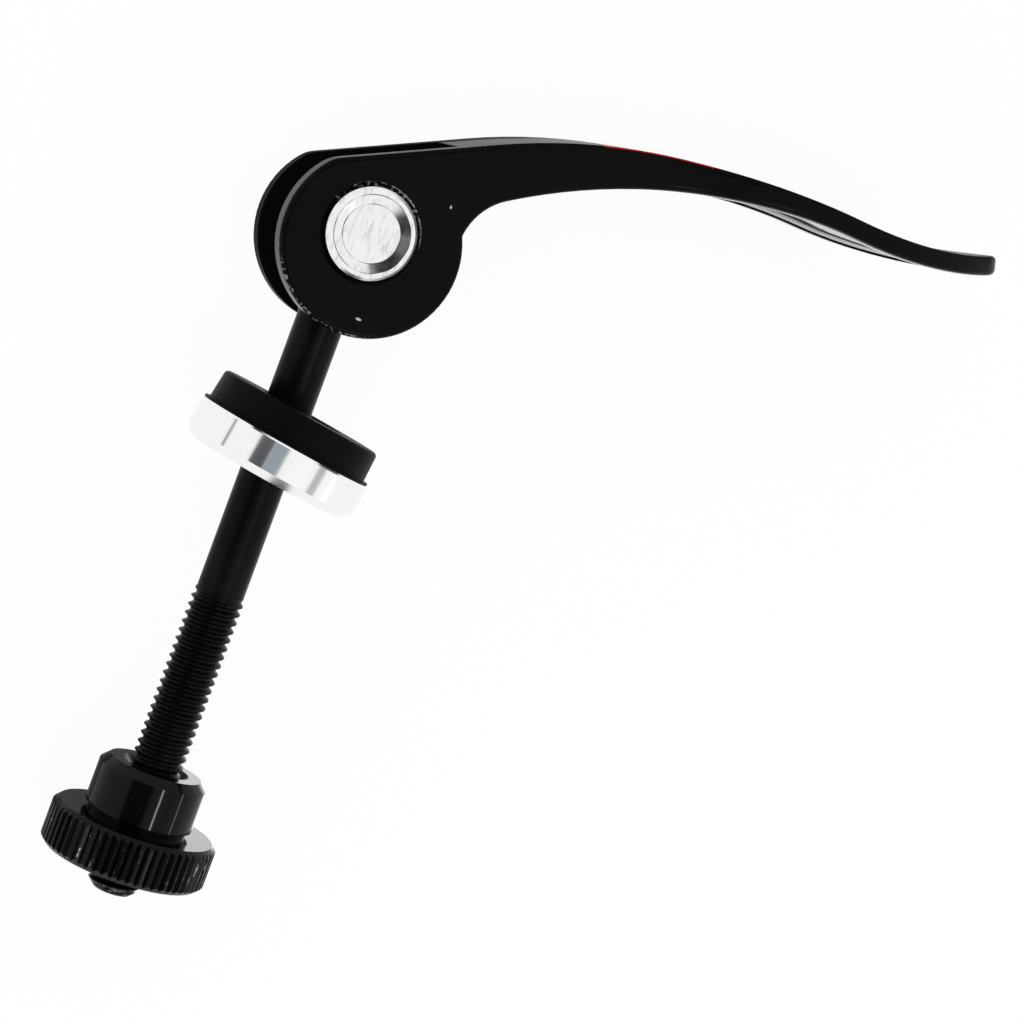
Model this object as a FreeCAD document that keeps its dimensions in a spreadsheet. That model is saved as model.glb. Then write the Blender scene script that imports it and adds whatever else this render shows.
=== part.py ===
import FreeCAD
import Part
import math
import os
import re
import Sketcher

# Quick release skewer of a seatpost clamp: a cam lever on a pivot pin, an eye bolt,
# a cup washer with its cam follower, and a knurled thumb nut.
# Millimetres. +Y runs up the bolt to the pivot, +X along the closed lever arm, +Z along the pin.
# The origin is on the bolt axis, midway between the washer and the nut.

SIZES = [
    # Places along the bolt, measured from the origin
    ("pivot_height", 45.5, "pivot axis above the origin"),
    ("washer_height", 17.1, "underside of the cup washer above the origin, on the bolt axis"),
    ("nut_depth", 17.0, "end face of the nut's boss below the origin"),
    # Lever head: cam cheeks, slot and pin hole
    ("cam_radius", 9.95, "radius of the cam cheeks"),
    ("cam_throw", 1.3, "cam centre from the pivot axis"),
    ("cam_lean", 32.0, "degrees from the bolt to the line of the throw, towards the arm"),
    ("head_width", 14.5, "over both cheeks"),
    ("slot_width", 9.1, "between the cheeks"),
    ("slot_margin", 1.0, "slot floor beyond the cam radius, along the straight back"),
    ("pin_hole_chamfer", 0.5, "outer edge of the pin hole in each cheek"),
    ("head_round", 4.0, "round between the cam and the straight back"),
    ("edge_round", 0.65, "outer edges of the lever"),
    # Lever arm, side view
    ("back_drop", 0.54, "straight back below the top of the cam circle"),
    ("back_slope", 25.0, "degrees of the straight back to the X axis"),
    ("shoulder_start", 10.0, "end of the straight back, along X from the pivot"),
    ("shoulder_radius", 69.0, "first bend of the arm's back"),
    ("shoulder_end", 29.7, "where the first bend turns into the long bend"),
    ("back_radius", 117.0, "long bend of the arm's back"),
    ("kick_start", 51.6, "where the bend turns into the upward kick"),
    ("kick_radius", 59.3, "upward kick, on the back"),
    ("underkick_radius", 62.0, "upward kick, on the underside"),
    ("arm_reach", 73.85, "flat tip of the arm, along X from the pivot, at the tip level"),
    ("tip_level", 22.0, "level of the tip above the pivot, where the outline from above is drawn"),
    ("tip_lean", 18.0, "degrees that the tip and the sides of the arm lean back"),
    ("arm_waist", 2.2, "thickness of the arm where the kick starts"),
    ("throat_radius", 6.96, "hollow between the cam and the arm"),
    ("throat_bite", 0.63, "overlap of the throat circle and the cam circle"),
    ("throat_rise", 2.39, "throat centre above the pivot axis"),
    # Lever arm, seen from above
    ("paddle_width", 20.0, "widest part of the arm"),
    ("paddle_reach", 46.2, "widest part, along X from the pivot"),
    ("paddle_radius", 45.0, "long sides of the paddle"),
    ("neck_radius", 49.0, "hollow sides where the arm widens"),
    ("corner_radius", 5.9, "corners of the tip"),
    # Thumb recess under the arm
    ("recess_depth", 0.5, "depth of the recess"),
    ("recess_rim", 2.2, "rim left beside the recess"),
    ("recess_start", 40.0, "near end of the recess, along X from the pivot"),
    ("recess_end", 66.0, "far end of the recess, along X from the pivot"),
    # Pivot pin
    ("pin_radius", 4.95, "pivot pin"),
    ("pin_proud", 0.8, "each pin end above its cheek"),
    ("pin_chamfer", 0.3, "rim of each pin end"),
    ("dimple_mouth", 4.15, "radius of the end recess at its mouth"),
    ("dimple_floor", 3.15, "radius of the end recess at its floor"),
    ("dimple_depth", 0.45, "depth of the end recess"),
    # Eye bolt
    ("eye_radius", 7.0, "outside of the eye"),
    ("shank_radius", 2.65, "plain shank"),
    ("neck_height", 3.4, "cone between the eye and the shank"),
    ("neck_top_radius", 3.9, "cone at the eye"),
    ("thread_radius", 2.9, "outside of the thread"),
    ("thread_start", 41.8, "start of the thread below the pivot axis"),
    ("bolt_length", 77.0, "end of the bolt below the pivot axis"),
    ("bolt_chamfer", 0.8, "end of the bolt"),
    # Cup washer and cam follower
    ("washer_lean", 9.5, "degrees that the loose washer leans on the bolt, arm side down"),
    ("washer_shift", 0.3, "loose washer off the bolt axis, towards the arm"),
    ("ring_radius", 10.2, "outside of the cup"),
    ("ring_height", 4.3, "height of the cup"),
    ("ring_floor", 1.6, "floor of the cup"),
    ("ring_wall", 0.6, "wall of the cup"),
    ("ring_chamfer", 0.9, "lower edge of the cup"),
    ("ring_lip", 0.2, "upper edges of the cup"),
    ("follower_stand", 3.65, "top of the follower above the cup"),
    ("follower_rim", 0.3, "thin rim of the follower on the cup's lip"),
    ("follower_draft", 0.15, "top of the follower inside its foot, radial"),
    ("follower_round", 0.5, "upper edge of the follower"),
    ("cup_bore", 3.9, "bolt hole through the cup"),
    ("follower_bore", 4.9, "bolt hole through the follower"),
    # Thumb nut
    ("boss_radius", 6.1, "boss of the nut"),
    ("boss_height", 6.3, "boss above the flange"),
    ("boss_chamfer", 0.9, "edge of the boss"),
    ("undercut_radius", 5.6, "groove at the foot of the boss"),
    ("undercut_height", 0.7, "groove at the foot of the boss"),
    ("flange_radius", 9.35, "outside of the knurled flange"),
    ("flange_height", 5.1, "knurled flange"),
    ("flange_chamfer", 0.6, "edges of the flange"),
    ("collar_radius", 3.7, "low collar under the flange"),
    ("collar_height", 0.4, "low collar under the flange"),
    ("bore_chamfer", 0.8, "countersinks of the threaded hole"),
    ("knurl_count", 60, "grooves round the flange"),
    ("knurl_depth", 0.35, "depth of a groove"),
    ("knurl_half_width", 0.36, "half the mouth of a groove"),
    # Clearances
    ("pin_seat_gap", 0.01, "pin in the cheeks, radial"),
    ("pivot_gap", 0.05, "pin in the eye, radial"),
    ("eye_side_gap", 0.3, "eye to each cheek"),
    ("follower_gap", 0.1, "follower to the cup's wall and floor"),
    ("thread_gap", 0.06, "nut on the thread, radial"),
]

doc = FreeCAD.newDocument("quick_release")
sheet = doc.addObject("Spreadsheet::Sheet", "Sizes")
for row, (alias, value, note) in enumerate(SIZES, start=1):
    sheet.set(f"A{row}", note)
    sheet.set(f"B{row}", str(value))
    sheet.setAlias(f"B{row}", alias)
doc.recompute()
ALIASES = {alias for alias, value, note in SIZES}


# An expression with each alias written as a cell of the sheet.
def bound(expression):
    return re.sub(r"[a-z_]+", lambda word: ("Sizes." if word[0] in ALIASES else "") + word[0], expression)


# The present value of an expression.
def value_of(expression):
    return float(sheet.evalExpression(bound(expression)))


def add_constraint(sketch, kind, *references, size=None):
    if size is None:
        sketch.addConstraint(Sketcher.Constraint(kind, *references))
        return
    angle = kind == "Angle"
    value = math.radians(value_of(size)) if angle else value_of(size)
    index = sketch.addConstraint(Sketcher.Constraint(kind, *references, value))
    unit = " * 1 deg" if angle else " * 1 mm"
    sketch.setExpression(f"Constraints[{index}]", f"({bound(size)})" + unit)


# Ties a point of the sketch to two expressions, measured from the sketch's origin.
def place_point(sketch, geometry, end, x, y):
    for kind, axis, size in (("DistanceX", -2, x), ("DistanceY", -1, y)):
        value = value_of(size)
        if abs(value) < 1e-9:
            add_constraint(sketch, "PointOnObject", geometry, end, axis)
        elif value > 0:
            add_constraint(sketch, kind, -1, 1, geometry, end, size=size)
        else:
            add_constraint(sketch, kind, geometry, end, -1, 1, size=f"-({size})")


def new_body(label):
    body = doc.addObject("PartDesign::Body", label)
    body.Label = label
    return body


def new_sketch(body, name, plane):
    sketch = body.newObject("Sketcher::SketchObject", name)
    support = next(item for item in body.Origin.OriginFeatures if item.Role == plane)
    sketch.AttachmentSupport = [(support, "")]
    sketch.MapMode = "FlatFace"
    return sketch


# A closed outline of straight lines through corners given as pairs of expressions.
def add_polygon(sketch, corners):
    points = [FreeCAD.Vector(value_of(x), value_of(y), 0) for x, y in corners]
    lines = [Part.LineSegment(start, end) for start, end in zip(points, points[1:] + points[:1])]
    first = sketch.addGeometry(lines)[0]
    count = len(corners)
    for index, (x, y) in enumerate(corners):
        add_constraint(sketch, "Coincident", first + (index - 1) % count, 2, first + index, 1)
        place_point(sketch, first + index, 1, x, y)


def add_circle(sketch, radius):
    circle = Part.Circle(FreeCAD.Vector(0, 0, 0), FreeCAD.Vector(0, 0, 1), value_of(radius))
    index = sketch.addGeometry(circle)
    add_constraint(sketch, "Coincident", index, 3, -1, 1)
    add_constraint(sketch, "Radius", index, size=radius)


# A solid of revolution about the sketch's vertical axis.
def revolve(body, sketch):
    feature = body.newObject("PartDesign::Revolution", sketch.Name + "_turned")
    feature.Profile = sketch
    feature.ReferenceAxis = (sketch, ["V_Axis"])
    feature.Angle = 360
    doc.recompute()
    return feature


# A pad, half to each side of the sketch.
def pad_both_ways(body, sketch, length):
    feature = body.newObject("PartDesign::Pad", sketch.Name + "_pad")
    feature.Profile = sketch
    feature.SideType = "Symmetric"
    feature.setExpression("Length", bound(length))
    doc.recompute()
    return feature


# A pocket through everything or, given a length, half of it to each side of the sketch.
# It has to take material away.
def pocket_through(body, sketch, length=None):
    before = body.Shape.Volume
    feature = body.newObject("PartDesign::Pocket", sketch.Name + "_cut")
    feature.Profile = sketch
    if length is None:
        feature.SideType = "Two sides"
        feature.Type = "ThroughAll"
        feature.Type2 = "ThroughAll"
    else:
        feature.SideType = "Symmetric"
        feature.setExpression("Length", bound(length))
    doc.recompute()
    if not body.Shape.Volume < before:
        raise RuntimeError(sketch.Name + " cuts nothing")
    return feature


# An arc of a sketch, anticlockwise from one point to another round a centre.
def arc_between(centre, start, end):
    first = math.atan2(start[1] - centre[1], start[0] - centre[0])
    last = math.atan2(end[1] - centre[1], end[0] - centre[0])
    if last <= first:
        last += 2 * math.pi
    radius = math.dist(centre, start)
    circle = Part.Circle(FreeCAD.Vector(*centre, 0), FreeCAD.Vector(0, 0, 1), radius)
    return Part.ArcOfCircle(circle, first, last)


def line_between(start, end):
    return Part.LineSegment(FreeCAD.Vector(*start, 0), FreeCAD.Vector(*end, 0))


# The point at a distance from a centre, towards another point.
def towards(centre, target, distance):
    share = distance / math.dist(centre, target)
    return (centre[0] + (target[0] - centre[0]) * share, centre[1] + (target[1] - centre[1]) * share)


# Where the lever's side view has its centres and its joints between arcs, from the pivot.
def lever_points():
    size = {alias: value_of(alias) for alias in ALIASES}
    lean = math.radians(size["cam_lean"])
    cam = (size["cam_throw"] * math.sin(lean), -size["cam_throw"] * math.cos(lean))
    slope = math.radians(size["back_slope"])
    along = (math.cos(slope), math.sin(slope))
    normal = (-along[1], along[0])
    back_distance = size["cam_radius"] - size["back_drop"]
    # round between cam and back: inside the cam circle and under the back
    foot = (cam[0] + normal[0] * (back_distance - size["head_round"]),
            cam[1] + normal[1] * (back_distance - size["head_round"]))
    inner = size["cam_radius"] - size["head_round"]
    slide = math.sqrt(inner ** 2 - (back_distance - size["head_round"]) ** 2)
    head = (foot[0] - along[0] * slide, foot[1] - along[1] * slide)
    head_top = (head[0] + normal[0] * size["head_round"], head[1] + normal[1] * size["head_round"])
    head_side = towards(cam, head, size["cam_radius"])
    # back: straight, shoulder, long bend, kick
    rise = (size["shoulder_start"] - head_top[0]) * math.tan(slope)
    back_end = (size["shoulder_start"], head_top[1] + rise)
    shoulder = (back_end[0] - size["shoulder_radius"] * normal[0],
                back_end[1] - size["shoulder_radius"] * normal[1])
    over_x = size["shoulder_end"] - shoulder[0]
    over = (over_x / size["shoulder_radius"], math.sqrt(1 - (over_x / size["shoulder_radius"]) ** 2))
    bend_joint = (size["shoulder_end"], shoulder[1] + size["shoulder_radius"] * over[1])
    back = (bend_joint[0] - size["back_radius"] * over[0], bend_joint[1] - size["back_radius"] * over[1])
    kick_x = (size["kick_start"] - back[0]) / size["back_radius"]
    up = (kick_x, math.sqrt(1 - kick_x ** 2))
    kick_joint = (back[0] + size["back_radius"] * up[0], back[1] + size["back_radius"] * up[1])
    kick = (kick_joint[0] + size["kick_radius"] * up[0], kick_joint[1] + size["kick_radius"] * up[1])
    # underside: kick and belly start square below the joint of the back
    under_joint = (kick_joint[0] - size["arm_waist"] * up[0], kick_joint[1] - size["arm_waist"] * up[1])
    underkick = (under_joint[0] + size["underkick_radius"] * up[0],
                 under_joint[1] + size["underkick_radius"] * up[1])
    # tip: a flat end that leans back, between the two arcs of the kick
    tip = (size["arm_reach"], size["tip_level"])
    tip_lean = math.radians(size["tip_lean"])
    rising = (-math.sin(tip_lean), math.cos(tip_lean))
    tip_ends = []
    for centre, radius in ((kick, size["kick_radius"]), (underkick, size["underkick_radius"])):
        near = (centre[0] - tip[0]) * rising[0] + (centre[1] - tip[1]) * rising[1]
        climb = near - math.sqrt(near ** 2 - math.dist(centre, tip) ** 2 + radius ** 2)
        tip_ends.append((tip[0] + rising[0] * climb, tip[1] + rising[1] * climb))
    tip_top, tip_low = tip_ends
    # throat: a circle that bites into the cam, and the belly that is tangent to it
    span = size["cam_radius"] + size["throat_radius"] - size["throat_bite"]
    throat_y = size["throat_rise"]
    throat = (cam[0] + math.sqrt(span ** 2 - (throat_y - cam[1]) ** 2), throat_y)
    offset = (under_joint[0] - throat[0], under_joint[1] - throat[1])
    down = offset[0] * -up[0] + offset[1] * -up[1]
    square = offset[0] ** 2 + offset[1] ** 2
    belly_radius = (size["throat_radius"] ** 2 - square) / (2 * (down + size["throat_radius"]))
    belly = (under_joint[0] - belly_radius * up[0], under_joint[1] - belly_radius * up[1])
    belly_joint = towards(belly, throat, belly_radius)
    # the corner of cam and throat: upper crossing of the two circles
    across = (throat[0] - cam[0], throat[1] - cam[1])
    share = (size["cam_radius"] ** 2 - size["throat_radius"] ** 2 + span ** 2) / (2 * span)
    side = math.sqrt(size["cam_radius"] ** 2 - share ** 2)
    corner = (cam[0] + (across[0] * share - across[1] * side) / span,
              cam[1] + (across[1] * share + across[0] * side) / span)
    return {"cam": cam, "head": head, "head_top": head_top, "head_side": head_side, "back_end": back_end,
            "shoulder": shoulder, "bend_joint": bend_joint, "back": back, "kick_joint": kick_joint,
            "kick": kick, "under_joint": under_joint, "underkick": underkick, "tip": tip,
            "tip_top": tip_top, "tip_low": tip_low, "throat": throat, "belly": belly,
            "belly_joint": belly_joint, "corner": corner}


# Side view of the lever: cam, straight back, shoulder, long bend, kick, tip, belly and throat.
# Drawn as construction lines, it is only a guide for other lines of the sketch.
def draw_lever_side(sketch, construction=False):
    at = lever_points()
    shapes = {
        "cam": arc_between(at["cam"], at["head_side"], at["corner"]),
        "head": arc_between(at["head"], at["head_top"], at["head_side"]),
        "back": line_between(at["head_top"], at["back_end"]),
        "shoulder": arc_between(at["shoulder"], at["bend_joint"], at["back_end"]),
        "bend": arc_between(at["back"], at["kick_joint"], at["bend_joint"]),
        "kick": arc_between(at["kick"], at["kick_joint"], at["tip_top"]),
        "tip": line_between(at["tip_low"], at["tip_top"]),
        "underkick": arc_between(at["underkick"], at["under_joint"], at["tip_low"]),
        "belly": arc_between(at["belly"], at["under_joint"], at["belly_joint"]),
        "throat": arc_between(at["throat"], at["belly_joint"], at["corner"]),
        "square": line_between(at["back"], at["kick"]),
        "reach": Part.Point(FreeCAD.Vector(*at["tip"], 0)),
    }
    part = {}
    for name, shape in shapes.items():
        part[name] = sketch.addGeometry(shape, construction or name in ("square", "reach"))
    tangents = [("cam", 1, "head", 2), ("head", 1, "back", 1), ("back", 2, "shoulder", 2),
                ("shoulder", 1, "bend", 2), ("bend", 1, "kick", 1), ("belly", 2, "throat", 1)]
    for first, first_end, second, second_end in tangents:
        add_constraint(sketch, "Tangent", part[first], first_end, part[second], second_end)
    corners = [("throat", 2, "cam", 2), ("belly", 1, "underkick", 1), ("kick", 2, "tip", 2),
               ("tip", 1, "underkick", 2), ("square", 1, "bend", 3), ("square", 2, "kick", 3)]
    for first, first_end, second, second_end in corners:
        add_constraint(sketch, "Coincident", part[first], first_end, part[second], second_end)
    add_constraint(sketch, "Angle", part["tip"], size="90 + tip_lean")
    place_point(sketch, part["reach"], 1, "arm_reach", "tip_level")
    add_constraint(sketch, "PointOnObject", part["reach"], 1, part["tip"])
    # the square line joins the centres of bend and kick, and carries those of the underside
    for name, end in (("underkick", 1), ("underkick", 3), ("belly", 3)):
        add_constraint(sketch, "PointOnObject", part[name], end, part["square"])
    radii = {"cam": "cam_radius", "head": "head_round", "shoulder": "shoulder_radius", "bend": "back_radius",
             "kick": "kick_radius", "underkick": "underkick_radius", "throat": "throat_radius"}
    for name, size in radii.items():
        add_constraint(sketch, "Radius", part[name], size=size)
    cam_place = ("cam_throw * sin(cam_lean * 1 deg)", "-cam_throw * cos(cam_lean * 1 deg)")
    place_point(sketch, part["cam"], 3, *cam_place)
    add_constraint(sketch, "Angle", part["back"], size="back_slope")
    add_constraint(sketch, "Distance", part["cam"], 3, part["back"], size="cam_radius - back_drop")
    add_constraint(sketch, "DistanceX", -1, 1, part["back"], 2, size="shoulder_start")
    add_constraint(sketch, "DistanceX", -1, 1, part["shoulder"], 1, size="shoulder_end")
    add_constraint(sketch, "DistanceX", -1, 1, part["kick"], 1, size="kick_start")
    add_constraint(sketch, "Distance", part["kick"], 1, part["underkick"], 1, size="arm_waist")
    throat_span = "cam_radius + throat_radius - throat_bite"
    add_constraint(sketch, "Distance", part["cam"], 3, part["throat"], 3, size=throat_span)
    add_constraint(sketch, "DistanceY", -1, 1, part["throat"], 3, size="throat_rise")
    return part


# What lies outside the lever's outline seen from above, on one side: neck, paddle and tip corner.
# The inset moves the outline inwards all along.
def draw_plan_waste(sketch, inset):
    neck_half = f"head_width / 2 - {inset}"
    paddle_low = "paddle_width / 2 - paddle_radius"
    paddle_radius = f"paddle_radius - {inset}"
    neck_radius = f"neck_radius + {inset}"
    corner_radius = f"corner_radius - {inset}"
    reach = value_of("paddle_reach")
    paddle = (reach, value_of(paddle_low))
    both = value_of("paddle_radius + neck_radius")
    neck_z = value_of("head_width / 2 + neck_radius")
    neck = (reach - math.sqrt(both ** 2 - (neck_z - paddle[1]) ** 2), neck_z)
    corner_x = value_of("arm_reach - corner_radius")
    inner = value_of("paddle_radius - corner_radius")
    corner = (corner_x, paddle[1] + math.sqrt(inner ** 2 - (corner_x - reach) ** 2))
    neck_start = (neck[0], value_of(neck_half))
    neck_end = towards(paddle, neck, value_of(paddle_radius))
    paddle_end = towards(paddle, corner, value_of(paddle_radius))
    corner_end = (corner[0] + value_of(corner_radius), corner[1])
    left = "-2 * cam_radius"
    right = "arm_reach + corner_radius"
    outside = "paddle_width"
    left_low = (value_of(left), value_of(neck_half))
    right_low = (value_of(right), corner[1])
    right_high = (value_of(right), value_of(outside))
    left_high = (value_of(left), value_of(outside))
    shapes = {
        "edge": line_between(left_low, neck_start),
        "neck": arc_between(neck, neck_start, neck_end),
        "paddle": arc_between(paddle, paddle_end, neck_end),
        "corner": arc_between(corner, corner_end, paddle_end),
        "beyond": line_between(corner_end, right_low),
        "right": line_between(right_low, right_high),
        "far": line_between(right_high, left_high),
        "left": line_between(left_high, left_low),
    }
    part = {name: sketch.addGeometry(shape) for name, shape in shapes.items()}
    tangents = [("edge", 2, "neck", 1), ("neck", 2, "paddle", 2), ("paddle", 1, "corner", 2)]
    for first, first_end, second, second_end in tangents:
        add_constraint(sketch, "Tangent", part[first], first_end, part[second], second_end)
    corners = [("corner", 1, "beyond", 1), ("beyond", 2, "right", 1), ("right", 2, "far", 1),
               ("far", 2, "left", 1), ("left", 2, "edge", 1)]
    for first, first_end, second, second_end in corners:
        add_constraint(sketch, "Coincident", part[first], first_end, part[second], second_end)
    for kind, names in (("Horizontal", ("edge", "beyond", "far")), ("Vertical", ("right", "left"))):
        for name in names:
            add_constraint(sketch, kind, part[name])
    add_constraint(sketch, "Horizontal", part["corner"], 3, part["corner"], 1)
    radii = {"neck": neck_radius, "paddle": paddle_radius, "corner": corner_radius}
    for name, size in radii.items():
        add_constraint(sketch, "Radius", part[name], size=size)
    place_point(sketch, part["edge"], 1, left, neck_half)
    place_point(sketch, part["far"], 1, right, outside)
    place_point(sketch, part["paddle"], 3, "paddle_reach", paddle_low)
    add_constraint(sketch, "DistanceX", -1, 1, part["corner"], 3, size="arm_reach - corner_radius")


# Trims a side view to the lever's outline seen from above, along the lean of the tip.
def trim_to_plan(body, inset):
    sketch = new_sketch(body, body.Label + "_plan", "XZ_Plane")
    sketch.setExpression("AttachmentOffset.Base.z", bound("-tip_level * 1 mm"))
    draw_plan_waste(sketch, inset)
    doc.recompute()
    cut = pocket_through(body, sketch)
    cut.UseCustomVector = True
    cut.setExpression("Direction.x", bound("sin(tip_lean * 1 deg)"))
    cut.setExpression("Direction.y", bound("-cos(tip_lean * 1 deg)"))
    cut.setExpression("Direction.z", "0")
    doc.recompute()
    mirrored = body.newObject("PartDesign::Mirrored", body.Label + "_plan_mirrored")
    mirrored.Originals = [cut]
    middle = next(item for item in body.Origin.OriginFeatures if item.Role == "XY_Plane")
    mirrored.MirrorPlane = (middle, [""])
    body.Tip = mirrored
    doc.recompute()
    return mirrored


# The sharp edges of a shape.
def sharp_edges(shape):
    names = []
    for index, edge in enumerate(shape.Edges, start=1):
        faces = shape.ancestorsOfType(edge, Part.Face)
        middle = edge.valueAt((edge.FirstParameter + edge.LastParameter) / 2)
        normals = [face.normalAt(*face.Surface.parameter(middle)) for face in faces]
        if len(normals) == 2 and abs(normals[0].dot(normals[1])) < 0.9:
            names.append(f"Edge{index}")
    return names


def round_edges(body, base, names, radius):
    feature = body.newObject("PartDesign::Fillet", body.Label + "_edges")
    feature.Base = (base, names)
    feature.setExpression("Radius", bound(radius))
    doc.recompute()
    return feature


# Puts a body at a height on the bolt axis.
def place_at(body, height):
    body.setExpression("Placement.Base.y", bound(height) + " * 1 mm")


# Lever: the side view, trimmed to its outline from above and with rounded edges
lever = new_body("lever")
lever_side = new_sketch(lever, "lever_side", "XY_Plane")
draw_lever_side(lever_side)
doc.recompute()
pad_both_ways(lever, lever_side, "paddle_width + 2 * edge_round")
lever_blank = trim_to_plan(lever, "0")
round_edges(lever, lever_blank, sharp_edges(lever.Shape), "edge_round")

# Slot between the cheeks, open over the cam, with a floor square to the straight back
slot = new_sketch(lever, "lever_slot", "XY_Plane")
slot_far = "(-2 * cam_radius)"
slot_near = "(2 * cam_radius)"
slot_floor = "(cam_radius + slot_margin)"
slot_corners = []
for along, across in ((slot_far, slot_far), (slot_floor, slot_far),
                      (slot_floor, slot_near), (slot_far, slot_near)):
    slot_corners.append((f"{along} * cos(back_slope * 1 deg) - {across} * sin(back_slope * 1 deg)",
                         f"{along} * sin(back_slope * 1 deg) + {across} * cos(back_slope * 1 deg)"))
add_polygon(slot, slot_corners)
doc.recompute()
pocket_through(lever, slot, "slot_width")

# Pin hole through both cheeks, chamfered outside
pin_hole = new_sketch(lever, "lever_pin_hole", "XY_Plane")
add_circle(pin_hole, "pin_radius + pin_seat_gap")
doc.recompute()
bored = pocket_through(lever, pin_hole)
hole_edges = []
for index, edge in enumerate(bored.Shape.Edges, start=1):
    box = edge.BoundBox
    outside = abs(abs(box.Center.z) - value_of("head_width / 2")) < 0.01 and box.ZLength < 0.01
    if outside and abs(box.XLength - 2 * value_of("pin_radius + pin_seat_gap")) < 0.01:
        hole_edges.append(f"Edge{index}")
hole_rims = lever.newObject("PartDesign::Chamfer", "lever_hole_rims")
hole_rims.Base = (bored, hole_edges)
hole_rims.setExpression("Size", bound("pin_hole_chamfer"))
doc.recompute()

# Thumb recess: a floor set into the underside of the arm, inside an even rim
recess = new_body("recess")
recess_side = new_sketch(recess, "recess_side", "XY_Plane")
guide = draw_lever_side(recess_side, construction=True)
joints = lever_points()
foot = towards(joints["under_joint"], joints["underkick"], value_of("recess_depth"))
belly_radius = math.dist(joints["belly"], foot)
kick_radius = math.dist(joints["underkick"], foot)
start_x = value_of("recess_start")
end_x = value_of("recess_end")
start = (start_x, joints["belly"][1] + math.sqrt(belly_radius ** 2 - (start_x - joints["belly"][0]) ** 2))
end = (end_x, joints["underkick"][1] - math.sqrt(kick_radius ** 2 - (end_x - joints["underkick"][0]) ** 2))
below = foot[1] - value_of("recess_depth + 2 * arm_waist")
belly_floor = recess_side.addGeometry(arc_between(joints["belly"], foot, start))
kick_floor = recess_side.addGeometry(arc_between(joints["underkick"], foot, end))
start_line = recess_side.addGeometry(line_between(start, (start_x, below)))
under_line = recess_side.addGeometry(line_between((start_x, below), (end_x, below)))
end_line = recess_side.addGeometry(line_between((end_x, below), end))
for references in ((belly_floor, 3, guide["belly"], 3), (kick_floor, 3, guide["underkick"], 3),
                   (belly_floor, 1, kick_floor, 1), (belly_floor, 2, start_line, 1),
                   (start_line, 2, under_line, 1), (under_line, 2, end_line, 1),
                   (end_line, 2, kick_floor, 2)):
    add_constraint(recess_side, "Coincident", *references)
add_constraint(recess_side, "PointOnObject", belly_floor, 1, guide["square"])
add_constraint(recess_side, "Distance", guide["belly"], 1, belly_floor, 1, size="recess_depth")
add_constraint(recess_side, "Vertical", start_line)
add_constraint(recess_side, "Vertical", end_line)
add_constraint(recess_side, "Horizontal", under_line)
add_constraint(recess_side, "DistanceX", -1, 1, start_line, 1, size="recess_start")
add_constraint(recess_side, "DistanceX", -1, 1, end_line, 2, size="recess_end")
add_constraint(recess_side, "DistanceY", under_line, 1, belly_floor, 1, size="recess_depth + 2 * arm_waist")
doc.recompute()
pad_both_ways(recess, recess_side, "paddle_width")
trim_to_plan(recess, "recess_rim")
before = lever.Shape.Volume
recess_cut = lever.newObject("PartDesign::Boolean", "lever_recess")
recess_cut.Type = "Cut"
recess_cut.setObjects([recess])
doc.recompute()
if not lever.Shape.Volume < before:
    raise RuntimeError("the thumb recess cuts nothing")
place_at(lever, "pivot_height")

# Pivot pin: bright ends with shallow conical dimples
pivot_pin = new_body("pivot_pin")
pin_profile = new_sketch(pivot_pin, "pin_profile", "XZ_Plane")
pin_end = "(head_width / 2 + pin_proud)"
pin_floor = f"({pin_end} - dimple_depth)"
pin_edge = f"({pin_end} - pin_chamfer)"
add_polygon(pin_profile, [("0", "-" + pin_floor), ("dimple_floor", "-" + pin_floor),
                          ("dimple_mouth", "-" + pin_end), ("pin_radius - pin_chamfer", "-" + pin_end),
                          ("pin_radius", "-" + pin_edge), ("pin_radius", pin_edge),
                          ("pin_radius - pin_chamfer", pin_end), ("dimple_mouth", pin_end),
                          ("dimple_floor", pin_floor), ("0", pin_floor)])
doc.recompute()
revolve(pivot_pin, pin_profile)
place_at(pivot_pin, "pivot_height")

# Eye bolt: shank and thread turned about Y, an eye on top, and the bore for the pin
eye_bolt = new_body("eye_bolt")
bolt_profile = new_sketch(eye_bolt, "bolt_profile", "XY_Plane")
neck_top = "-sqrt(eye_radius ^ 2 - neck_top_radius ^ 2)"
thread_top = "-(thread_start + thread_radius - shank_radius)"
add_polygon(bolt_profile, [("0", neck_top), ("neck_top_radius", neck_top),
                           ("shank_radius", "-(eye_radius + neck_height)"), ("shank_radius", "-thread_start"),
                           ("thread_radius", thread_top), ("thread_radius", "-(bolt_length - bolt_chamfer)"),
                           ("thread_radius - bolt_chamfer", "-bolt_length"), ("0", "-bolt_length")])
doc.recompute()
revolve(eye_bolt, bolt_profile)
eye = new_sketch(eye_bolt, "eye", "XY_Plane")
add_circle(eye, "eye_radius")
doc.recompute()
pad_both_ways(eye_bolt, eye, "slot_width - 2 * eye_side_gap")
eye_bore = new_sketch(eye_bolt, "eye_bore", "XY_Plane")
add_circle(eye_bore, "pin_radius + pivot_gap")
doc.recompute()
pocket_through(eye_bolt, eye_bore)
place_at(eye_bolt, "pivot_height")

# Cup washer: floor and wall, with a bevel below and small bevels on the lip
cup_washer = new_body("cup_washer")
cup_profile = new_sketch(cup_washer, "cup_profile", "XY_Plane")
cup_inside = "ring_radius - ring_wall"
add_polygon(cup_profile, [("cup_bore", "0"), ("ring_radius - ring_chamfer", "0"),
                          ("ring_radius", "ring_chamfer"), ("ring_radius", "ring_height - ring_lip"),
                          ("ring_radius - ring_lip", "ring_height"),
                          (cup_inside + " + ring_lip", "ring_height"),
                          (cup_inside, "ring_height - ring_lip"), (cup_inside, "ring_floor"),
                          ("cup_bore", "ring_floor")])
doc.recompute()
revolve(cup_washer, cup_profile)

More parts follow.
